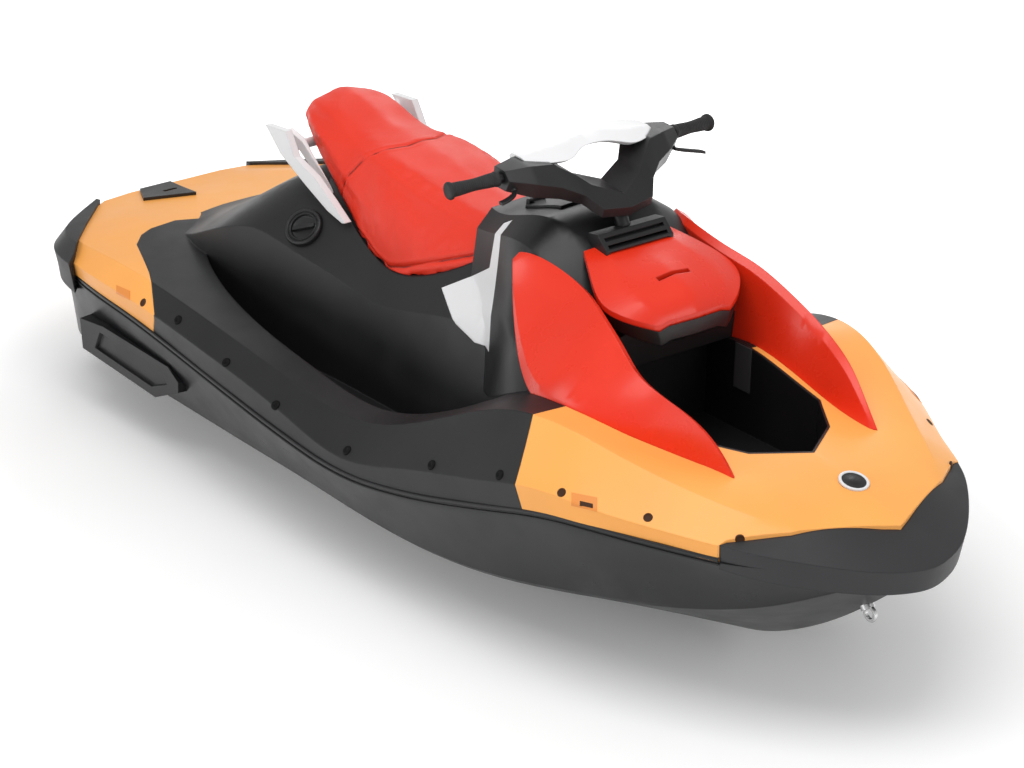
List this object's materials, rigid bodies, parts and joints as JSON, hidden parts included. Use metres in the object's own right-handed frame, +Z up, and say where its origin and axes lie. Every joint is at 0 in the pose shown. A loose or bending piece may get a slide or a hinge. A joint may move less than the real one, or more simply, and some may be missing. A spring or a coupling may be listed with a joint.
{
  "type": "personal watercraft",
  "caption": "Three-seat personal watercraft: moulded hull and deck, padded seat, turning handlebar, open bow bin, and a jet pump with steering nozzle and reverse bucket.",
  "frame": {"origin": "on the centreline at the still waterline, at half the length", "axes": "+X toward the bow, +Y to port, +Z up"},
  "size_m": [2.9949, 1.1804, 1.0703],
  "materials": {
    "orange_shell": "moulded-in orange, satin gloss",
    "red_shell": "moulded-in red, gloss",
    "black_deck": "black moulded deck plastic, satin",
    "black_hull": "black hull skin, semi-gloss",
    "black_trim": "black trim plastic, fine grain",
    "grey_bumper": "dark grey bumper plastic, matte",
    "white_plastic": "white moulded plastic, satin",
    "red_vinyl": "red marine vinyl with fine grain",
    "black_rubber": "black ribbed rubber",
    "grey_plate": "blank grey plate",
    "pump_aluminium": "cast aluminium, light grain",
    "stainless": "polished stainless steel",
    "engine_grey": "painted engine casting"
  },
  "bodies": {
    "craft": {"hull": "black_hull", "deck": "black_deck", "bow_deck": "orange_shell", "stern_deck": "orange_shell", "bow_bumper": "grey_bumper", "stern_bumper_left": "grey_bumper", "stern_bumper_right": "grey_bumper", "sponson_left": "black_trim", "sponson_right": "black_trim", "side_panel_left": "red_shell", "side_panel_right": "red_shell", "hood": "red_shell", "hood_chin": "black_trim", "console": "black_trim", "accent_panel_left": "white_plastic", "accent_panel_right": "white_plastic", "front_bin": "black_deck", "bin_plate": "grey_plate", "gauge_pod": "black_trim", "seat_cushion": "red_vinyl", "grab_rail": "white_plastic", "engine": "engine_grey", "pump_housing": "pump_aluminium", "ride_plate": "black_trim", "intake_grate": "pump_aluminium", "bow_eye": "stainless", "tow_pad": "black_trim", "stern_eye_left": "stainless", "stern_eye_right": "stainless", "drain_plug_left": "black_trim", "drain_plug_right": "black_trim", "filler_cap": "black_trim"},
    "handlebar_set": {"steering_stem": "black_trim", "handlebar": "black_trim", "grip_left": "black_rubber", "grip_right": "black_rubber", "bar_pad": "white_plastic", "bar_cover": "black_trim", "brake_lever": "black_trim", "throttle_lever": "black_trim"},
    "impeller_set": {"impeller": "stainless"},
    "nozzle": {"steering_nozzle": "pump_aluminium"},
    "bucket": {"reverse_bucket": "black_trim"},
    "lid": {"glovebox_lid": "black_trim"}
  },
  "joints": [
    {"name": "steering", "type": "hinge", "parent": "craft", "child": "handlebar_set", "pos_m": [0.38, 0, 0.747], "axis": [-0.5, 0, 0.866], "range_deg": [-28, 28]},
    {"name": "nozzle_turn", "type": "hinge", "parent": "craft", "child": "nozzle", "pos_m": [-1.343, 0, -0.05], "axis": [0, 0, 1], "range_deg": [-21, 21]},
    {"name": "bucket_swing", "type": "hinge", "parent": "craft", "child": "bucket", "pos_m": [-1.32, 0, -0.05], "axis": [0, -1, 0], "range_deg": [0, 64]},
    {"name": "impeller_spin", "type": "hinge", "parent": "craft", "child": "impeller_set", "pos_m": [-1.045, 0, -0.05], "axis": [1, 0, 0], "continuous": true},
    {"name": "glovebox_lid_hinge", "type": "hinge", "parent": "craft", "child": "lid", "pos_m": [0.127, 0, 0.706], "axis": [0, -1, 0], "range_deg": [0, 100]}
  ],
  "couplings": [
    {"joint": "nozzle_turn", "follows": "steering", "ratio": -0.75}
  ]
}
